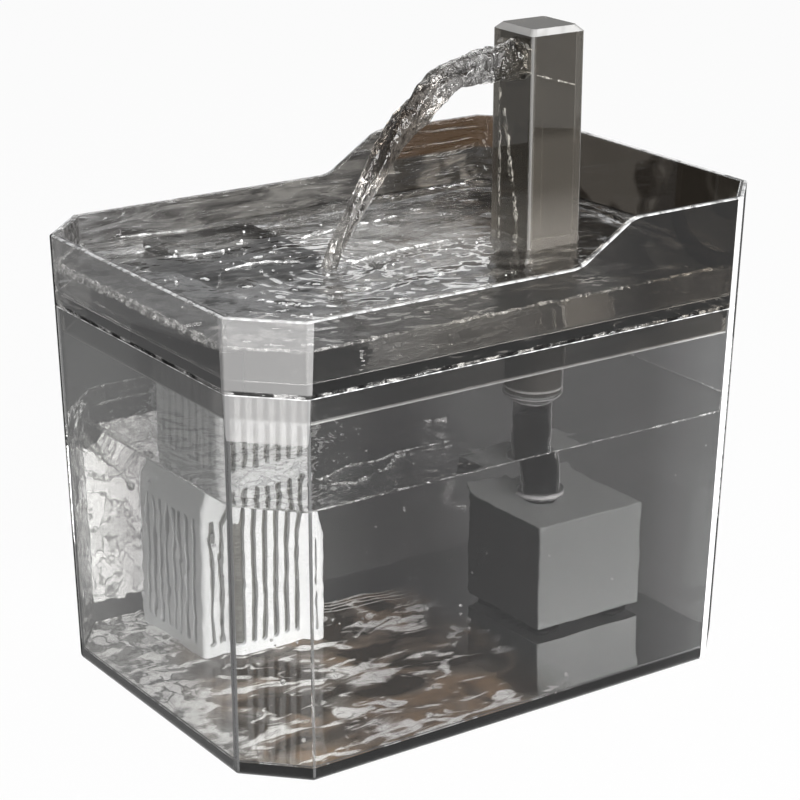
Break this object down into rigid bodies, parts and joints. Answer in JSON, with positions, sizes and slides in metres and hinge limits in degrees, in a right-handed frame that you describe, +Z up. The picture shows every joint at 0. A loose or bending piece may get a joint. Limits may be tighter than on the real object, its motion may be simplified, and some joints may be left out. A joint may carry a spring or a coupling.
{
  "type": "pet water fountain",
  "caption": "Eight-sided smoked clear water tank with a plug-in drinking tray, a square faucet column, a cube pump and a slatted filter box.",
  "frame": {"origin": "centre of the tank's flat bottom face, on the surface it stands on", "axes": "+Z up; +Y towards the faucet and the high splash rim; -Y towards the low rim where the pet drinks; +X to the right of a pet keeper standing at the -Y end"},
  "size_m": [0.1454, 0.2001, 0.212],
  "materials": {
    "smoked_plastic": "polished, tinted clear",
    "pump_plastic": "satin",
    "filter_plastic": "satin",
    "black_rubber": "satin",
    "clear_silicone": "satin",
    "foam": "open-cell foam",
    "cotton": "non-woven",
    "activated_carbon": "granular",
    "softening_resin": "granular",
    "lamination_steel": "stacked sheet",
    "enamelled_copper": "enamelled",
    "potting_compound": "cast",
    "ferrite": "ground",
    "shaft_steel": "ground"
  },
  "bodies": {
    "tank": {"tank": "smoked_plastic", "suction_cups": "black_rubber", "pump_base": "pump_plastic", "pump_cover": "pump_plastic", "cable_gland": "black_rubber", "prefilter_sponge": "foam", "impeller_chamber": "pump_plastic", "outlet_nozzle": "pump_plastic", "chamber_seal": "black_rubber", "outlet_sleeve": "black_rubber", "motor_shell": "pump_plastic", "stator_core": "lamination_steel", "stator_coil": "enamelled_copper", "potting_resin": "potting_compound", "impeller_shaft": "shaft_steel", "shaft_bushes": "black_rubber"},
    "tray": {"drinking_tray": "smoked_plastic"},
    "faucet": {"faucet_column": "smoked_plastic", "outlet_chute": "smoked_plastic", "spigot_seal": "clear_silicone", "faucet_reducer": "smoked_plastic"},
    "impeller": {"impeller": "filter_plastic", "rotor_magnet": "ferrite"},
    "filter": {"filter_box": "filter_plastic", "filter_cotton": "cotton", "carbon_pad": "activated_carbon", "resin_pad": "softening_resin"},
    "filter_lid": {"filter_lid": "filter_plastic"}
  },
  "joints": [
    {"name": "tray_lift", "type": "slide", "parent": "tank", "child": "tray", "axis": [0, 0, 1], "range_m": [0, 0.06]},
    {"name": "faucet_lift", "type": "slide", "parent": "tray", "child": "faucet", "axis": [0, 0, 1], "range_m": [0, 0.09]},
    {"name": "impeller_spin", "type": "hinge", "parent": "tank", "child": "impeller", "pos_m": [0.005, 0.06, 0.027], "axis": [0, 1, 0], "continuous": true},
    {"name": "filter_lift", "type": "slide", "parent": "tank", "child": "filter", "axis": [0, 0, 1], "range_m": [0, 0.135]},
    {"name": "lid_lift", "type": "slide", "parent": "filter", "child": "filter_lid", "axis": [0, 0, 1], "range_m": [0, 0.015]}
  ]
}
